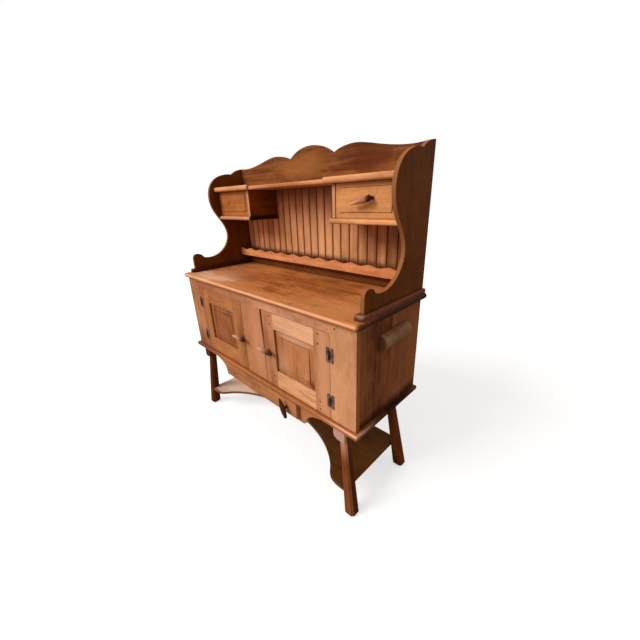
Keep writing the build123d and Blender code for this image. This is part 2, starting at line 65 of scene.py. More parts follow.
# From the middle of the width, the face frame's front and the floor
camera_x = 1.2057
camera_front = -0.7374
camera_z = 1.3053
camera_yaw = 44.393
camera_pitch = -21.732
camera_roll = -1.990
image_px = 640
focal_px = 304.24
centre_px = (322.79, 319.91)
sensor_mm = 36


def add_camera():
    data = bpy.data.cameras.new("camera")
    data.sensor_width = sensor_mm
    data.lens = focal_px / image_px * sensor_mm
    data.shift_x = (image_px / 2 - centre_px[0]) / image_px
    data.shift_y = (centre_px[1] - image_px / 2) / image_px
    yaw, pitch, roll = (radians(a) for a in (camera_yaw, camera_pitch, camera_roll))
    forward = Vector((-sin(yaw) * cos(pitch), cos(yaw) * cos(pitch), sin(pitch)))
    level = Vector((cos(yaw), sin(yaw), 0))
    upright = level.cross(forward)
    right = cos(roll) * level + sin(roll) * upright
    up = -sin(roll) * level + cos(roll) * upright
    camera = bpy.data.objects.new("camera", data)
    camera.matrix_world = Matrix((right, up, -forward)).transposed().to_4x4()
    camera.location = (camera_x, face_y + camera_front, camera_z)
    bpy.context.scene.collection.objects.link(camera)
    bpy.context.scene.camera = camera


# ---------------------------------------------------------------- node writing

def linear(rgb):
    """A written colour as the linear colour that nodes take."""
    parts = [c / 255 for c in rgb]
    return [c / 12.92 if c < 0.04045 else ((c + 0.055) / 1.055) ** 2.4 for c in parts] + [1]


def shaded(colour, factors):
    return [min(1.0, c * f) for c, f in zip(colour, factors)] + [1]


class Graph:
    """Writes the nodes of one material or world."""

    def __init__(self, owner):
        owner.use_nodes = True
        self.tree = owner.node_tree
        self.tree.nodes.clear()

    def node(self, kind, inputs=(), **settings):
        made = self.tree.nodes.new("ShaderNode" + kind)
        for key, value in settings.items():
            setattr(made, key, value)
        for key, value in dict(inputs).items():
            if isinstance(value, bpy.types.NodeSocket):
                self.tree.links.new(value, made.inputs[key])
            else:
                made.inputs[key].default_value = value
        return made

    def math(self, operation, a, b=0.0):
        return self.node("Math", {0: a, 1: b}, operation=operation).outputs[0]

    def times(self, a, b):
        return self.math("MULTIPLY", a, b)

    def plus(self, a, *others):
        for other in others:
            a = self.math("ADD", a, other)
        return a

    def swing(self, value, amount):
        """A 0 to 1 value turned into one that swings about 0."""
        return self.times(self.plus(value, -0.5), amount)

    def remap(self, value, low, high, to_low=0.0, to_high=1.0):
        """The value carried from one range to another, smoothly and held at its ends."""
        return self.node("MapRange", {
            "Value": value, "From Min": low, "From Max": high,
            "To Min": to_low, "To Max": to_high}, interpolation_type="SMOOTHSTEP").outputs[0]

    def noise(self, place, scale, detail, rough=0.5):
        return self.node("TexNoise", {
            "Vector": place, "Scale": scale, "Detail": detail, "Roughness": rough}).outputs[0]

    def joined(self, x, y, z):
        return self.node("CombineXYZ", {0: x, 1: y, 2: z}).outputs[0]

    def part(self, vector, axis):
        return self.node("SeparateXYZ", {0: vector}).outputs["xyz".index(axis)]

    def vector(self, operation, a, b=(0, 0, 0)):
        made = self.node("VectorMath", {0: a, 1: b}, operation=operation)
        return made.outputs["Value" if operation in ("DOT_PRODUCT", "LENGTH") else "Vector"]

    def ramp(self, value, *stops):
        made = self.node("ValToRGB", {0: value})
        points = made.color_ramp.elements
        while len(points) < len(stops):
            points.new(0.5)
        for point, (at, colour) in zip(points, stops):
            point.position = at
            point.color = colour
        return made.outputs[0]

    def mix(self, factor, a, b):
        return self.node("Mix", {0: factor, 6: a, 7: b}, data_type="RGBA").outputs[2]

    def openness(self, reach):
        """1 in the open, and less where other surfaces are within reach."""
        return self.node("AmbientOcclusion", {"Distance": reach}, samples=4).outputs["AO"]


def facing(graph, axis):
    """1 where the surface faces along an axis and 0 where it lies beside it."""
    normal = graph.node("NewGeometry").outputs["Normal"]
    along = [1.0 if letter == axis else 0.0 for letter in "xyz"]
    return graph.math("ABSOLUTE", graph.vector("DOT_PRODUCT", normal, along))


def edge_mask(graph, radius):
    """1 along the edges and 0 on the flats."""
    flat_cosine, edge_cosine = 0.995, 0.92
    rounded = graph.node("Bevel", {"Radius": radius}, samples=4).outputs[0]
    flat = graph.node("NewGeometry").outputs["Normal"]
    return graph.remap(graph.vector("DOT_PRODUCT", rounded, flat), flat_cosine, edge_cosine)


# ---------------------------------------------------------------- wood

# A finish's other colours, as shares of its mean colour
darker = (0.46, 0.36, 0.27)
lighter = (1.36, 1.42, 1.46)
# The darkest colour, for knots' hearts, dark joints, dirt and painted shade
grimy_and_shaded = (0.12, 0.06, 0.035)
rubbed_pale = (1.5, 1.6, 1.75)

# How often the marks change in a metre, along the grain and across it
slow_rate = (2.4, 9.0)
fibre_rate = (20.0, 760.0)
streak_rate = (2.4, 46.0)
blotch_rate = (4.5, 9.0)
mottle_rate = (34.0, 60.0)
# and the same every way
scuff_rate = 38.0
rings_per_m = 150.0
knot_rings_rate = 900.0
# and up a scratch and across it
scratch_rate = (46.0, 420.0)

# How far one plank's grain may lie from another's, and how the pith lies behind a board
plank_shift = 7.0
pith_aside = 0.08
pith_behind = 0.05
pith_sway = 0.045
pith_slope = 0.016

# How far rubbing reaches round an edge, how near other surfaces hold dirt and painted shade, and
# how wide the line of dirt and painted shade round a raised field is
edge_radius = 0.0032
dirt_and_shade_reach = 0.011
corner_shade_reach = 0.07
step_width = 0.0018


class Wood:
    """One finish: its mean colour, those of its worn edges and of its painted rims, and
    strengths.

    blotch, streak, rings and mottle say how strongly the wood is marked, spread how far the
    planks of a piece differ, wear how far use has changed it, and the joint and corner strengths
    how dark the joints grow with grime and painted shade, and the corners with painted shade."""

    def __init__(self, tone, worn=None, painted_rim=None, blotch=0.6, streak=0.34, rings=0.25,
                 spread=0.25, wear=0.45, dirt_and_shade=0.85, corner_shade=0.3, rough=0.5, gloss=0.06,
                 mottle=0.3):
        self.middle = linear(tone)
        self.dark = shaded(self.middle, darker)
        self.light = shaded(self.middle, lighter)
        self.grime_and_shade = shaded(self.middle, grimy_and_shaded)
        self.worn = linear(worn) if worn else shaded(self.middle, rubbed_pale)
        self.painted_rim = linear(painted_rim) if painted_rim else None
        self.blotch = blotch
        self.streak = streak
        self.rings = rings
        self.spread = spread
        self.wear = wear
        self.dirt_and_shade = dirt_and_shade
        self.corner_shade = corner_shade
        self.rough = rough
        self.gloss = gloss
        self.mottle = mottle


class Grain:
    """The marks in a plain-sawn piece at each place in it."""

    def __init__(self, graph, place, axes, planks, seed):
        self.graph = graph
        length, self.width, self.depth = (graph.part(place, axis) for axis in axes)
        if planks:
            position = graph.math("DIVIDE", graph.plus(self.width, -planks[0]), planks[1])
            number = graph.math("FLOOR", position)
            self.local = graph.swing(graph.math("FRACT", position), planks[1])
        else:
            number = seed
            self.local = self.width
        chance = graph.node("TexWhiteNoise", {
            "Vector": graph.joined(number, seed, seed * 0.37)},
            noise_dimensions="3D").outputs[1]
        self.chance, aside, behind = (graph.part(chance, axis) for axis in "xyz")
        self.length = graph.plus(length, graph.times(self.chance, plank_shift), seed)
        self.slow = self.marks(slow_rate, 3.0, 0.5)
        self.fibre = self.marks(fibre_rate, 3.0, 0.62)
        self.streak = self.marks(streak_rate, 5.0, 0.62)
        self.blotch = self.marks(blotch_rate, 4.0, 0.6)
        self.mottle = self.marks(mottle_rate, 3.0, 0.6)
        self.scuff = graph.noise(place, scuff_rate, 4.0, 0.65)
        self.ring = self.rings(aside, behind)

    def marks(self, rate, detail, rough):
        graph = self.graph
        along, across = rate
        return graph.noise(graph.joined(
            graph.times(self.length, along), graph.times(self.width, across),
            graph.times(self.depth, across)), 1.0, detail, rough)

    def rings(self, chance_aside, chance_behind):
        """Growth rings round a pith that lies behind the board and slopes along it."""
        graph = self.graph
        aside = graph.plus(self.local, graph.swing(chance_aside, pith_aside))
        behind = graph.plus(self.depth, graph.times(chance_behind, pith_behind), pith_behind)
        radius = graph.math("SQRT", graph.plus(
            graph.times(aside, aside), graph.times(behind, behind)))
        radius = graph.plus(
            radius, graph.swing(self.slow, pith_sway), graph.times(self.length, pith_slope))
        ring = graph.math("FRACT", graph.times(radius, rings_per_m))
        return graph.times(graph.remap(ring, 0.0, 0.7), graph.remap(ring, 1.0, 0.84))

    def colour(self, finish):
        graph = self.graph
        tone = graph.plus(
            0.5, graph.times(graph.plus(self.ring, -0.5), -0.34 * finish.rings),
            graph.swing(self.streak, 1.8 * finish.streak),
            graph.swing(self.blotch, 2.2 * finish.blotch),
            graph.swing(self.mottle, finish.mottle), graph.swing(self.fibre, 0.2),
            graph.swing(self.chance, finish.spread))
        return graph.ramp(
            tone, (0.08, finish.dark), (0.5, finish.middle), (0.92, finish.light))


def knot(graph, place, along, slow, colour, finish, spot, size):
    """A knot and the dark rings round it, longer along the grain."""
    off = graph.vector("SUBTRACT", place, spot)
    off = graph.vector("MULTIPLY", off, [0.5 if axis == along else 1.0 for axis in "xyz"])
    far = graph.plus(graph.vector("LENGTH", off), graph.swing(slow, size * 1.2))
    ripple = graph.node("Math", {0: graph.times(far, knot_rings_rate)}, operation="SINE")
    halo = graph.times(
        graph.remap(far, size * 2.6, size * 0.8),
        graph.remap(ripple.outputs[0], -0.4, 0.9, 0.2, 0.6))
    colour = graph.mix(halo, colour, finish.dark)
    return graph.mix(graph.remap(far, size, size * 0.4, 0, 0.92), colour, finish.grime_and_shade)


def colour_patch(spot, size, tone, amount, broken=1.0):
    """A soft patch of another colour, for a real stain or for painted light or shade: its middle,
    its half size each way, its colour, how strong it is and how far the grain's marks break its
    outline."""
    return spot, size, tone, amount, broken


def patched(graph, place, marks, colour, spot, size, tone, amount, broken):
    """The colour with one colour patch laid over it."""
    off = graph.vector("SUBTRACT", place, spot)
    off = graph.vector("DIVIDE", off, size)
    far = graph.plus(graph.vector("LENGTH", off), graph.times(marks, broken))
    return graph.mix(graph.remap(far, 1.1, 0.2, 0, amount), colour, linear(tone))


def scratched(graph, place, colour, middle_x, reach, tone):
    """Short upright scratches down to paler wood, within reach of one place in the width."""
    up, across = scratch_rate
    x = graph.part(place, "x")
    off = graph.math("ABSOLUTE", graph.plus(x, -middle_x))
    lines = graph.noise(graph.joined(
        graph.times(x, across), 0.0, graph.times(graph.part(place, "z"), up)), 1.0, 3.0, 0.7)
    mask = graph.times(graph.remap(lines, 0.56, 0.64), graph.remap(off, reach, reach * 0.3))
    return graph.mix(graph.times(mask, 0.8), colour, linear(tone))


def step_dirt_and_shade(graph, place, across, up, colour, box, tone):
    """Dirt and painted shade along the step round a raised field, given by its lowest and highest
    corners.
    """
    low, high = box
    reach = None
    for axis in (across, up):
        number = "xyz".index(axis)
        middle = (low[number] + high[number]) / 2
        half = (high[number] - low[number]) / 2
        off = graph.math("ABSOLUTE", graph.plus(graph.part(place, axis), -middle))
        off = graph.plus(off, -half)
        reach = off if reach is None else graph.math("MAXIMUM", reach, off)
    near = graph.remap(
        graph.math("ABSOLUTE", reach), step_width, step_width * 0.4, 0, 0.5)
    return graph.mix(near, colour, tone)


def joint_lines(graph, local, plank_width, joint, colour, finish):
    """Dark lines of a given half width between planks, and shade beside them."""
    aside = graph.math("ABSOLUTE", local)
    half = plank_width / 2
    line = graph.remap(aside, half - joint, half - joint * 0.3, 0, 0.9)
    shade = graph.remap(aside, half - joint * 3, half - joint, 0, 0.35)
    return graph.mix(shade, graph.mix(line, colour, finish.grime_and_shade), finish.dark)


def dirtied_and_shaded(graph, blotch, colour, finish):
    """Dirt and painted shade in the joints, and painted shade in the corners."""
    dirt_and_shade = graph.times(graph.remap(graph.openness(dirt_and_shade_reach), 0.9, 0.35), finish.dirt_and_shade)
    colour = graph.mix(dirt_and_shade, colour, finish.grime_and_shade)
    corner_shade = graph.times(
        graph.remap(graph.openness(corner_shade_reach), 0.9, 0.3),
        graph.remap(blotch, 0.3, 0.62, 0.3, 1.0))
    return graph.mix(graph.times(corner_shade, finish.corner_shade), colour, finish.dark)


def wood(name, finish, along, across, planks=None, seed=0.0, knots=(), colour_patches=(),
         scratches=None, field=None, joint=0.0):
    """A plain-sawn piece's material.

    The grain runs along one axis and the board's width lies across another. planks is the
    first edge and the width of the boards that the piece is made of, and joint the half
    width of the dark lines between them."""
    material = bpy.data.materials.new(name)
    graph = Graph(material)
    place = graph.node("TexCoord").outputs["Object"]
    through = next(axis for axis in "xyz" if axis not in (along, across))
    grain = Grain(graph, place, (along, across, through), planks, seed)
    colour = grain.colour(finish)
    for spot, size in knots:
        colour = knot(graph, place, along, grain.slow, colour, finish, spot, size)
    if not finish.painted_rim:
        end_grain = graph.remap(facing(graph, along), 0.8, 0.97, 0, 0.5)
        colour = graph.mix(end_grain, colour, finish.dark)
    edge = graph.times(edge_mask(graph, edge_radius), graph.remap(grain.scuff, 0.36, 0.6))
    colour = graph.mix(graph.times(edge, finish.wear), colour, finish.worn)
    marks = graph.plus(graph.swing(grain.blotch, 2.4), graph.swing(grain.streak, 1.6))
    for each in colour_patches:
        colour = patched(graph, place, marks, colour, *each)
    if scratches:
        colour = scratched(graph, place, colour, *scratches)
    # The edges and ends take the rim colour: painted light or painted shade for how they face the
    # lamp
    if finish.painted_rim:
        painted_rim_share = graph.remap(facing(graph, through), 0.75, 0.35, 0, 0.85)
        colour = graph.mix(painted_rim_share, colour, finish.painted_rim)
    if joint:
        colour = joint_lines(graph, grain.local, planks[1], joint, colour, finish)
    if field:
        colour = step_dirt_and_shade(graph, place, across, along, colour, field, finish.grime_and_shade)
    colour = dirtied_and_shaded(graph, grain.blotch, colour, finish)

    rough = graph.plus(
        finish.rough - 0.1, graph.times(grain.fibre, 0.1), graph.times(grain.scuff, 0.1))
    height = graph.plus(
        graph.times(grain.fibre, 0.5), graph.times(grain.ring, 0.25),
        graph.times(grain.scuff, 0.5))
    bump = graph.node("Bump", {
        "Height": height, "Strength": 0.32, "Distance": 0.0006}).outputs[0]
    surface = graph.node("BsdfPrincipled", {
        "Base Color": colour, "Roughness": rough, "Normal": bump,
        "Specular IOR Level": finish.gloss})
    graph.node("OutputMaterial", {0: surface.outputs[0]})
    return material


# ---------------------------------------------------------------- iron

iron_edge_radius = 0.0008
barrel_r = 0.003


def iron(name, tone, wear_tone, barrel_x=None):
    """Blackened iron, a little brown where it is handled, and black round a hinge's pin."""
    material = bpy.data.materials.new(name)
    graph = Graph(material)
    place = graph.node("TexCoord").outputs["Object"]
    pitted = graph.noise(place, 420.0, 4.0, 0.6)
    cloudy = graph.noise(place, 70.0, 3.0)
    middle = linear(tone)
    colour = graph.ramp(
        cloudy, (0.3, shaded(middle, (0.4, 0.4, 0.45))), (0.55, middle),
        (0.8, shaded(middle, (2.4, 1.9, 1.5))))
    edge = graph.times(edge_mask(graph, iron_edge_radius), graph.remap(pitted, 0.35, 0.65))
    colour = graph.mix(graph.times(edge, 0.6), colour, linear(wear_tone))
    if barrel_x:
        out = graph.plus(graph.math("ABSOLUTE", graph.part(place, "x")), -barrel_x)
        near = graph.remap(graph.math("ABSOLUTE", out), barrel_r * 2, barrel_r, 0, 0.9)
        colour = graph.mix(near, colour, shaded(middle, (0.1, 0.08, 0.08)))
    bump = graph.node("Bump", {"Height": pitted, "Strength": 0.5, "Distance": 0.0003}).outputs[0]
    surface = graph.node("BsdfPrincipled", {
        "Base Color": colour, "Metallic": 0.5, "Normal": bump,
        "Roughness": graph.remap(pitted, 0.2, 0.8, 0.42, 0.68)})
    graph.node("OutputMaterial", {0: surface.outputs[0]})
    return material


# ---------------------------------------------------------------- finishes

top_finish = Wood((188, 114, 62), worn=(250, 200, 164), gloss=0.05, blotch=0.8, streak=0.6,
                  rings=0.5, wear=0.9, mottle=0.8)
rail_finish = Wood((222, 156, 118), corner_shade=0.1, blotch=0.45, streak=0.22, mottle=0.5)
# corner_finish's rim is painted shade on the right stile's sides
corner_finish = Wood((216, 152, 108), painted_rim=(150, 86, 46), worn=(244, 178, 130), blotch=0.4,
                     streak=0.22, wear=0.8)
left_stile_finish = Wood((184, 116, 70), blotch=0.5, streak=0.25)
pale_finish = Wood((228, 164, 118), worn=(244, 196, 158), blotch=0.4, streak=0.3, rings=0.5)
stile_finish = Wood((196, 130, 88), blotch=0.45, streak=0.22)
panel_finish = Wood((186, 118, 76), blotch=0.6)
dull_finish = Wood((164, 98, 58), blotch=0.5)
lip_finish = Wood((168, 102, 60), worn=(220, 154, 112), wear=0.7, mottle=0.5)
# apron_finish's rim is painted light on the edges and ends of the apron and its drawer front
apron_finish = Wood((180, 116, 74), painted_rim=(212, 148, 116), mottle=0.5)
# The case sides: the front's wood darkened, as painted shade for sides turned from the lamp
shaded_case_finish = Wood((142, 83, 47), worn=(160, 96, 62), corner_shade=0.6, gloss=0.04, rough=0.6)
# hutch_finish's rim is painted light on the scrolled sides' edges
hutch_finish = Wood((112, 62, 24), painted_rim=(160, 102, 62), worn=(176, 112, 72), blotch=0.35,
                    streak=0.16, gloss=0.03, rough=0.6)
# divider_finish's rim is painted light on the dividers' edges
divider_finish = Wood((138, 74, 24), painted_rim=(220, 158, 120), gloss=0.03)
crest_finish = Wood((134, 80, 42), blotch=0.35, streak=1.0, rings=0.5, mottle=0.6, gloss=0.04,
                    worn=(176, 104, 62))
back_finish = Wood((222, 150, 104), spread=0.6, dirt_and_shade=1.0, corner_shade=0.1, gloss=0.05, streak=0.8,
                   mottle=0.5)
base_finish = Wood((148, 86, 44), blotch=0.5)
bright_finish = Wood((213, 142, 88), worn=(244, 184, 136), blotch=0.5, rings=0.4, mottle=0.6)
wave_finish = Wood((234, 152, 100), worn=(250, 190, 148), blotch=0.4)
left_drawer_finish = Wood((192, 116, 60), blotch=0.5)
upper_finish = Wood((220, 150, 100), worn=(244, 184, 136), wear=0.7, corner_shade=0.1)
edge_finish = Wood((231, 163, 109), worn=(248, 196, 150), wear=0.8, corner_shade=0.1)
stand_finish = Wood((104, 50, 18), worn=(176, 118, 84), gloss=0.04)
# lit_leg_finish's rim is painted shade on the leg's sides
lit_leg_finish = Wood((122, 66, 34), painted_rim=(78, 32, 8), worn=(196, 130, 98), gloss=0.04)
shoe_finish = Wood((120, 66, 42), worn=(168, 128, 110), wear=0.6, gloss=0.04)
# shelf_finish's rim is painted light on the shelf's edges and ends
shelf_finish = Wood((91, 52, 18), painted_rim=(116, 70, 36), gloss=0.04)
grip_finish = Wood((142, 100, 68), worn=(176, 140, 110), wear=0.8, mottle=0.8, blotch=0.9,
                   corner_shade=0.6)
pull_finish = Wood((176, 120, 88), worn=(236, 190, 160))
dark_pull_finish = Wood((96, 52, 26), worn=(150, 96, 62))
peg_finish = Wood((150, 84, 52), dirt_and_shade=0.3)
faint_peg_finish = Wood((180, 116, 76), dirt_and_shade=0.1)
inner_finish = Wood((140, 88, 54), rough=0.55)


# ---------------------------------------------------------------- dressing the pieces

# The size of a colour patch that has no end that way
whole = 9.0
# How deep the colour patches on thin boards go, so that the back stays clean
skin = 0.011
thin_skin = 0.009
# The colour of the painted shadow in the doors' gaps
gap_shadow_tone = (40, 10, 2)

# How far the raised fields lie from the edges of the door panels and of the small drawers'
# fronts, whose outer end is the one beside the scrolled side
panel_margin = (0.0401, 0.0401)
drawer_inner = 0.020
drawer_outer = 0.031
drawer_foot = 0.025
drawer_head = 0.018


def dress(material, *names):
    for name in names:
        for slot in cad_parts[name].material_slots:
            slot.material = material


def sides(name):
    return ("left_" + name, "right_" + name)


def field_of(name, low_margin, high_margin):
    """The raised field of a panel or drawer front, inside its margins in x and z."""
    low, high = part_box(name)
    return ((low[0] + low_margin[0], 0, low[2] + low_margin[1]),
            (high[0] - high_margin[0], 0, high[2] - high_margin[1]))


def dress_worktop():
    low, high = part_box("worktop")
    front = low[1]
    knots = [((-0.014, 0.045, top_z), 0.010), ((0.302, -0.206, top_z), 0.009),
             ((0.396, -0.163, top_z), 0.011), ((0.1, -0.02, top_z), 0.006)]
    colour_patches = [
        # a painted sheen at the left spreading over the left end, and painted light on the right
        # end
        colour_patch((-0.44, front + 0.05, top_z), (0.28, 0.08, 0.2), (252, 214, 178), 0.7, 1.1),
        colour_patch((-0.5, -0.12, top_z), (0.4, 0.26, 0.2), (214, 154, 110), 0.45, 0.8),
        colour_patch((0.5, -0.13, top_z), (0.3, 0.12, 0.2), (214, 144, 90), 0.6),
        # the darker middle, paler wood by the front, and a painted highlight along the rounded
        # edge
        colour_patch((0.0, 0.05, top_z), (0.6, 0.16, 0.2), (146, 80, 36), 0.6),
        colour_patch((0.1, front + 0.03, top_z), (0.5, 0.03, 0.2), (214, 146, 92), 0.5),
        colour_patch((0.0, front, top_z - 0.007), (whole, 0.01, 0.007), (250, 190, 148), 0.75, 0.4),
        # painted shade on the right end, which faces away from the lamp
        colour_patch((high[0], 0.1, top_z), (0.02, 0.8, 0.2), (64, 32, 16), 1.0, 0.15)]
    dress(wood("worktop", top_finish, "x", "y", planks=(-0.27, 0.245), seed=1.3,
               knots=knots, colour_patches=colour_patches), "worktop")


def dress_case():
    low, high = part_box("bottom_board")
    colour_patches = [
        # lit along the edge at the right and round the corner
        colour_patch((0.64, low[1], high[2]), (0.2, 0.012, 0.008), (244, 190, 156), 0.8, 0.2),
        colour_patch((high[0], low[1] + 0.05, high[2]), (0.012, 0.09, 0.012), (216, 160, 146), 0.7, 0.2),
        # painted shade at the left and, darker, on the right end
        colour_patch((low[0], low[1], high[2]), (0.3, whole, whole), (116, 68, 56), 0.75, 0.3),
        colour_patch((high[0], 0.06, 0.45), (0.05, 0.29, 0.1), (44, 14, 5), 1.0, 0.15)]
    dress(wood("bottom_edge", lip_finish, "x", "y", planks=(-0.3, 0.25), seed=2.1,
               colour_patches=colour_patches), "bottom_board")
    dress(wood("case_back", inner_finish, "z", "x", planks=(-0.618, 0.206), seed=3.4),
          "case_back")
    low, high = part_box("right_case_side")
    colour_patches = [
        # darker just under the worktop, painted shade at the foot, and a pale streak towards the
        # back
        colour_patch((high[0], -0.13, 0.86), (0.3, 0.08, 0.05), (78, 44, 34), 0.6),
        colour_patch((high[0], 0.0, low[2]), (0.3, whole, 0.05), (46, 14, 4), 0.85, 0.25),
        colour_patch((high[0], high[1] - 0.14, 0.6), (0.3, 0.016, 0.3), (150, 100, 66), 0.5, 0.4)]
    dress(wood("case_side", shaded_case_finish, "z", "y", planks=(-0.21, 0.225), seed=9.1,
               colour_patches=colour_patches), *sides("case_side"))
    dress(wood("inner_shelf", inner_finish, "x", "y", planks=(-0.3, 0.15), seed=8.4),
          "inner_shelf", "cupboard_battens")
    dress(wood("lift_handle", grip_finish, "y", "z", seed=10.2), *sides("lift_handle"))


def dress_frame():
    low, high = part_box("centre_face_stile")
    colour_patches = [
        # lit beside the right door, and painted shadow in the gap at its free edge
        colour_patch((high[0] - 0.05, face_y, low[2] + 0.2), (0.06, 0.1, 0.25), (220, 152, 112), 0.6),
        colour_patch((high[0], face_y, high[2]), (0.007, 0.1, 0.22), gap_shadow_tone, 1.0, 0.05)]
    dress(wood("frame_middle", stile_finish, "z", "x", seed=4.2, colour_patches=colour_patches),
          "centre_face_stile")
    low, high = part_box("left_face_stile")
    colour_patches = [
        # painted shade on the outer corner and on the foot
        colour_patch((low[0], face_y, high[2] / 2), (0.012, 0.005, whole), (50, 14, 8), 0.95, 0.1),
        colour_patch((low[0], face_y, low[2]), (0.2, whole, 0.2), (128, 72, 56), 0.7, 0.4)]
    dress(wood("frame_left", stile_finish, "z", "x", seed=4.5, colour_patches=colour_patches),
          "left_face_stile")
    dress(wood("frame_right", corner_finish, "z", "x", seed=4.9), "right_face_stile")
    shade = colour_patch((-0.55, face_y, 0.87), (0.65, 0.1, 0.4), (172, 104, 70), 0.95, 0.3)
    dress(wood("frame_level", rail_finish, "x", "z", seed=5.7, colour_patches=[shade]),
          "top_face_rail")
    dress(wood("pegs", peg_finish, "y", "x", planks=(-0.7, 0.03), seed=7.7),
          "frame_pegs", "right_door_pegs")
    dress(wood("faint_pegs", faint_peg_finish, "y", "x", planks=(-0.7, 0.03), seed=7.9),
          "left_door_pegs")


def dress_doors():
    low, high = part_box("right_door_stiles")
    level = (low[2] + high[2]) / 2
    colour_patches = [
        # painted shadow in the gap at the free edge, the pale hinged stile and handled wood by
        # the pull
        colour_patch((low[0], face_y, level + 0.15), (0.008, 0.1, 0.24), gap_shadow_tone, 1.0, 0.05),
        colour_patch((high[0] - 0.03, face_y, level), (0.05, 0.1, 0.5), (222, 156, 116), 0.75, 0.2),
        colour_patch((low[0] + 0.03, face_y, level - 0.05), (0.03, 0.1, 0.2), (156, 98, 70), 0.5)]
    dress(wood("right_door_upright", stile_finish, "z", "x", planks=(-0.64, 0.16), seed=6.1,
               colour_patches=colour_patches), "right_door_stiles")
    dress(wood("left_door_upright", left_stile_finish, "z", "x", planks=(-0.64, 0.16),
               seed=6.1), "left_door_stiles")
    low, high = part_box("right_door_rails")
    pale_top = colour_patch((high[0], face_y, high[2]), (whole, 0.1, 0.2), (255, 196, 160), 0.35, 0.3)
    dress(wood("right_door_level", pale_finish, "x", "z", planks=(0.4, 0.22), seed=6.8,
               colour_patches=[pale_top]), "right_door_rails")
    dress(wood("left_door_level", left_stile_finish, "x", "z", planks=(0.4, 0.22), seed=7.3),
          "left_door_rails")
    low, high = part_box("right_door_panel")
    front = low[1]
    middle = (low[0] + high[0]) / 2
    level = (low[2] + high[2]) / 2
    colour_patches = [
        # painted light on the top bevel, painted shade in the lower right corner, and the pale
        # lower left one
        colour_patch((middle, front, high[2] - 0.02), (0.16, skin, 0.03), (212, 166, 138), 0.75, 0.4),
        colour_patch((high[0] - 0.02, front, low[2] + 0.02), (0.1, skin, 0.04), (112, 50, 22),
              0.95, 0.6),
        colour_patch((low[0] + 0.05, front, low[2] + 0.07), (0.07, skin, 0.1), (204, 150, 116), 0.6),
        # shade along the field's right step
        colour_patch((high[0] - 0.041, front, level - 0.02), (0.0035, skin, 0.12), (96, 40, 18),
              0.9, 0.05)]
    dress(wood("right_panel", panel_finish, "z", "x", planks=(-0.7, 0.31), seed=6.5,
               colour_patches=colour_patches, field=field_of("right_door_panel", panel_margin, panel_margin)),
          "right_door_panel")
    low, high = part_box("left_door_panel")
    smudge = colour_patch((high[0] - 0.07, low[1], high[2] - 0.03), (0.06, skin, 0.035),
                   (120, 84, 72), 0.7)
    dress(wood("left_panel", dull_finish, "z", "x", planks=(-0.7, 0.31), seed=9.5,
               colour_patches=[smudge],
               field=field_of("left_door_panel", panel_margin, panel_margin)),
          "left_door_panel")


def dress_stand():
    low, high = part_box("right_bearer")
    # painted light on the right bearer's front end
    lit_bearer_end = colour_patch((high[0], low[1], high[2]), (0.3, 0.022, 0.3), (206, 160, 140), 0.9, 0.1)
    dress(wood("bearer", stand_finish, "y", "z", seed=11.6, colour_patches=[lit_bearer_end]),
          *sides("bearer"))
    dress(wood("leg", stand_finish, "z", "x", planks=(-1.0, 0.5), seed=12.9),
          "left_front_leg", *sides("rear_leg"))
    # painted light on the upper part of the right front leg
    pale_top = colour_patch((0.6, 0.0, 0.42), (whole, whole, 0.15), (208, 138, 106), 0.95, 0.1)
    dress(wood("lit_leg", lit_leg_finish, "z", "x", planks=(-1.0, 0.5), seed=12.9,
               colour_patches=[pale_top]), "right_front_leg")
    colour_patches = [
        # a painted sheen at the left, and the dark front edge there
        colour_patch((-0.5, 0.0, shelf_z), (0.42, 0.4, 0.1), (238, 202, 180), 1.0, 0.35),
        colour_patch((-0.5, -0.22, shelf_z), (0.6, 0.03, 0.1), (110, 62, 40), 0.7, 0.2)]
    dress(wood("lower_shelf", shelf_finish, "x", "y", planks=(-0.3, 0.24), seed=13.3,
               colour_patches=colour_patches), "lower_shelf")
    dress(wood("apron", apron_finish, "x", "z", seed=14.8), "apron_board", "apron_drawer_front")
    dress(wood("inner_long", inner_finish, "y", "x", planks=(-0.7, 0.1), seed=15.2),
          "apron_runners", "apron_drawer_box", *sides("small_drawer_box"))


def dress_hutch_back():
    colour_patches = [
        # the lit middle lobe and the dark right end
        colour_patch((-0.06, 0.235, 1.455), (0.2, 0.2, 0.07), (186, 118, 62), 0.5, 1.3),
        colour_patch((0.36, 0.235, 1.46), (0.3, 0.2, 0.08), (92, 42, 22), 0.7, 1.2)]
    dress(wood("crest", crest_finish, "x", "z", seed=16.6, colour_patches=colour_patches), "crest_board")
    front = bead_box[0][1]
    colour_patches = [
        # the lit foot, painted shadow behind the rail, the darker right side and shade under the
        # shelf
        colour_patch((0.08, front, 1.1), (0.4, thin_skin, 0.4), (234, 170, 120), 0.55, 0.6),
        colour_patch((0.0, front, rail_top - 0.028), (whole, thin_skin, 0.04), (44, 14, 4), 0.95, 0.2),
        colour_patch((0.5, front, 1.15), (0.3, thin_skin, 0.3), (136, 80, 50), 0.6, 0.6),
        colour_patch((0.0, front, 1.37), (whole, thin_skin, 0.09), (112, 60, 36), 0.7, 0.3)]
    dress(wood("beads", back_finish, "z", "x", planks=bead_planks, seed=17.5, colour_patches=colour_patches,
               joint=0.0055), "back_boards")
    dress(wood("base_rail", base_finish, "x", "z", seed=18.1,
               scratches=(0.0, 0.17, (224, 170, 140))), "base_rail")


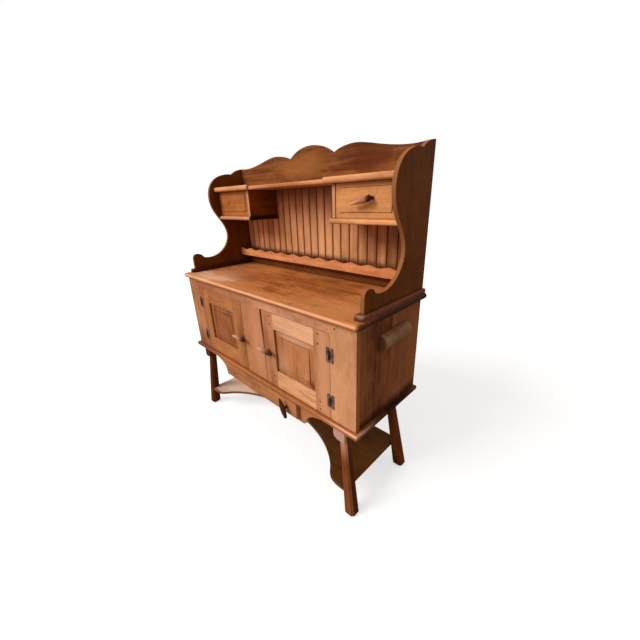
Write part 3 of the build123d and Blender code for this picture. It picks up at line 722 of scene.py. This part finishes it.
def dress_hutch():
    dress(wood("scalloped_rail", wave_finish, "x", "z", seed=19.4), "scalloped_rail")
    dress(wood("gallery_shelf", base_finish, "x", "y", seed=19.8), "gallery_shelf")
    duller = colour_patch((0.0, 0.0, 1.36), (0.33, whole, whole), (172, 108, 66), 0.75, 0.2)
    dress(wood("upper_shelf", upper_finish, "x", "y", seed=20.3, colour_patches=[duller]),
          "upper_shelf")
    inner_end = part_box("left_bay_floor")[1][0]
    colour_patches = [
        # painted shade on the left one's inner end, and duller wood
        colour_patch((inner_end, 0.1, 1.2), (0.012, 0.5, 0.1), (30, 8, 2), 1.0, 0.1),
        colour_patch((-0.5, 0.1, 1.2), (0.2, whole, whole), (204, 136, 102), 0.8, 0.2)]
    dress(wood("bay_floor", edge_finish, "x", "y", seed=20.9, colour_patches=colour_patches),
          *sides("bay_floor"))
    dress(wood("scroll_side", hutch_finish, "z", "y", seed=21.7), *sides("scroll_side"))
    low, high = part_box("right_shoe")
    colour_patches = [
        # the dark left one, and a painted highlight on the right one's nose
        colour_patch((-high[0], 0.0, high[2]), (0.3, whole, 0.3), (66, 28, 16), 0.9, 0.1),
        colour_patch((high[0], low[1], high[2]), (0.05, 0.02, 0.012), (170, 140, 134), 0.6, 0.3)]
    dress(wood("shoe", shoe_finish, "y", "x", seed=22.5, colour_patches=colour_patches), *sides("shoe"))
    dress(wood("divider", divider_finish, "y", "z", seed=23.3), *sides("bay_divider"))
    field = field_of("right_small_drawer_front", (drawer_inner, drawer_foot),
                     (drawer_outer, drawer_head))
    dress(wood("small_drawer", bright_finish, "x", "z", seed=24.9, field=field),
          "right_small_drawer_front")
    field = field_of("left_small_drawer_front", (drawer_outer, drawer_foot),
                     (drawer_inner, drawer_head))
    dress(wood("left_small_drawer", left_drawer_finish, "x", "z", seed=25.9, field=field),
          "left_small_drawer_front")


def dress_fittings():
    for name, dark in (("left_door_toggle", 0.42), ("right_door_toggle", 0.42),
                       ("right_small_drawer_toggle", 0.3)):
        low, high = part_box(name)
        length = high[0] - low[0]
        level = (low[2] + high[2]) / 2
        colour_patches = [
            # painted shade at the right end, and the left one rubbed pale and painted light
            colour_patch((high[0], low[1], level), (length * dark, 0.06, 0.1), (46, 18, 8), 0.95, 0.2),
            colour_patch((low[0], low[1], level), (length * 0.5, 0.04, 0.1), (226, 166, 130),
                  0.7, 0.3)]
        dress(wood(name, pull_finish, "x", "z", seed=25.4, colour_patches=colour_patches), name)
    dress(wood("pull_upright", dark_pull_finish, "z", "x", seed=26.4), "apron_drawer_toggle")
    dress(iron("hinge_iron", (128, 100, 88), (214, 190, 176), barrel_x=pin_x),
          "hinge_frame_leaves", *sides("door_hinge_leaves"))


# ---------------------------------------------------------------- edges

def ease_edges(radius, *names):
    """Round the sharp corners a little, as planing and handling leave them."""
    for name in names:
        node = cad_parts[name]
        joined = node.modifiers.new("joined", "WELD")
        joined.merge_threshold = 1e-5
        plain = node.modifiers.new("plain", "DECIMATE")
        plain.decimate_type = "DISSOLVE"
        plain.angle_limit = radians(0.5)
        eased = node.modifiers.new("eased", "BEVEL")
        eased.width = radius
        eased.segments = 2
        eased.limit_method = "ANGLE"
        eased.angle_limit = radians(40)
        settled = node.modifiers.new("settled", "WELD")
        settled.merge_threshold = 2e-5
        node.modifiers.new("shading", "WEIGHTED_NORMAL")


# ---------------------------------------------------------------- hinge screws

head_r = 0.0027
head_rise = 0.0005
head_top_share = 0.84
slot_half = 0.0004
arc_steps = 8
first_turn = 0.4
turn_step = 1.1


def half_head(centre, turn, flip):
    """Half of a slotted screw head: its corners and faces, facing the front."""
    low, high = [], []
    start = asin(slot_half / head_r)
    for step in range(arc_steps + 1):
        angle = start + (pi - 2 * start) * step / arc_steps
        for ring, size, y in ((low, 1.0, 0.0), (high, head_top_share, -head_rise)):
            u = head_r * cos(angle) * size
            v = max(slot_half, head_r * sin(angle) * size) * flip
            ring.append(Vector(
                (u * cos(turn) - v * sin(turn), y, u * sin(turn) + v * cos(turn))))
    count = arc_steps + 1
    corners = [centre + corner for corner in low + high]
    faces = [tuple(range(count, 2 * count)), tuple(range(count))]
    for step in range(count):
        after = (step + 1) % count
        faces.append((step, after, after + count, step + count))
    return corners, faces


def screw_heads(name, body, material, centres):
    """Slotted wood screws holding the hinge leaves of one body."""
    corners, faces = [], []
    for number, centre in enumerate(centres):
        turn = turn_step * number + first_turn
        for flip in (-1, 1):
            more_corners, more_faces = half_head(Vector(centre), turn, flip)
            first = len(corners)
            corners += more_corners
            faces += [tuple(first + corner for corner in face) for face in more_faces]
    mesh = bpy.data.meshes.new(name)
    mesh.from_pydata(corners, [], faces)
    outward = bmesh.new()
    outward.from_mesh(mesh)
    bmesh.ops.recalc_face_normals(outward, faces=outward.faces)
    outward.to_mesh(mesh)
    outward.free()
    heads = bpy.data.objects.new(name, mesh)
    bpy.context.scene.collection.objects.link(heads)
    mesh.materials.append(material)
    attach(heads, body)


def add_screws():
    material = iron("screw_iron", (120, 104, 96), (200, 186, 176))
    y = face_y - leaf_t
    levels = (leaves_low[2] + leaf_half_h, leaves_high[2] - leaf_half_h)
    spots = [level + side * screw_up for level in levels for side in (-1, 1)]
    outside = pin_x + screw_out
    inside = pin_x - screw_out
    screw_heads("frame_hinge_screws", "cabinet", material,
                [(x, y, z) for x in (-outside, outside) for z in spots])
    screw_heads("left_door_hinge_screws", "left_door", material,
                [(-inside, y, z) for z in spots])
    screw_heads("right_door_hinge_screws", "right_door", material,
                [(inside, y, z) for z in spots])


# ---------------------------------------------------------------- surroundings

floor_size = 40
floor_glow = 0.62
sky_strength = 0.5
sun_towards = (-0.4, -0.75, 0.65)
sun_strength = 2.4
sun_spread = 35


def add_floor():
    """A floor that looks white, keeps the shadow and lights the cabinet like a dull one."""
    bpy.ops.mesh.primitive_plane_add(size=floor_size)
    floor = bpy.context.object
    floor.name = "floor"
    material = bpy.data.materials.new("floor")
    graph = Graph(material)
    seen = graph.node("LightPath").outputs["Is Camera Ray"]
    lit = graph.node("BsdfDiffuse", {0: (0.55, 0.55, 0.55, 1)})
    dull = graph.node("BsdfDiffuse", {0: (0.3, 0.27, 0.25, 1)})
    glow = graph.node("Emission", {0: (1, 1, 1, 1), 1: floor_glow})
    shown = graph.node("AddShader", {0: lit.outputs[0], 1: glow.outputs[0]})
    both = graph.node("MixShader", {0: seen, 1: dull.outputs[0], 2: shown.outputs[0]})
    graph.node("OutputMaterial", {0: both.outputs[0]})
    floor.data.materials.append(material)


def add_world():
    """A sky that looks white and lights the cabinet softly."""
    world = bpy.data.worlds.new("world")
    bpy.context.scene.world = world
    graph = Graph(world)
    path = graph.node("LightPath").outputs
    clear = graph.math("MAXIMUM", path["Is Camera Ray"], path["Is Glossy Ray"])
    clear = graph.math("MAXIMUM", clear, path["Is Transmission Ray"])
    soft = graph.node("Background", {0: (1, 0.97, 0.93, 1), 1: sky_strength})
    white = graph.node("Background", {0: (1, 1, 1, 1), 1: 1.0})
    both = graph.node("MixShader", {0: clear, 1: soft.outputs[0], 2: white.outputs[0]})
    graph.node("OutputWorld", {0: both.outputs[0]})


def add_sun():
    """A soft far lamp in front of the cabinet, up and to the left."""
    data = bpy.data.lights.new("window", "SUN")
    data.energy = sun_strength
    data.angle = radians(sun_spread)
    data.color = (1, 0.98, 0.95)
    lamp = bpy.data.objects.new("window", data)
    lamp.rotation_mode = "QUATERNION"
    lamp.rotation_quaternion = Vector(sun_towards).to_track_quat("Z", "Y")
    bpy.context.scene.collection.objects.link(lamp)


add_camera()
dress_worktop()
dress_case()
dress_frame()
dress_doors()
dress_stand()
dress_hutch_back()
dress_hutch()
dress_fittings()
ease_edges(0.0016, "worktop", "bottom_board", "lower_shelf", "apron_board",
           *sides("bay_divider"), *sides("bearer"))
ease_edges(0.001, "top_face_rail", "centre_face_stile", "apron_drawer_front", "upper_shelf",
           "base_rail", *sides("face_stile"), *sides("door_stiles"),
           *sides("door_rails"), *sides("small_drawer_front"),
           *sides("bay_floor"), *sides("front_leg"), *sides("rear_leg"))
add_screws()
add_floor()
add_world()
add_sun()
bpy.context.scene.view_settings.view_transform = "Standard"
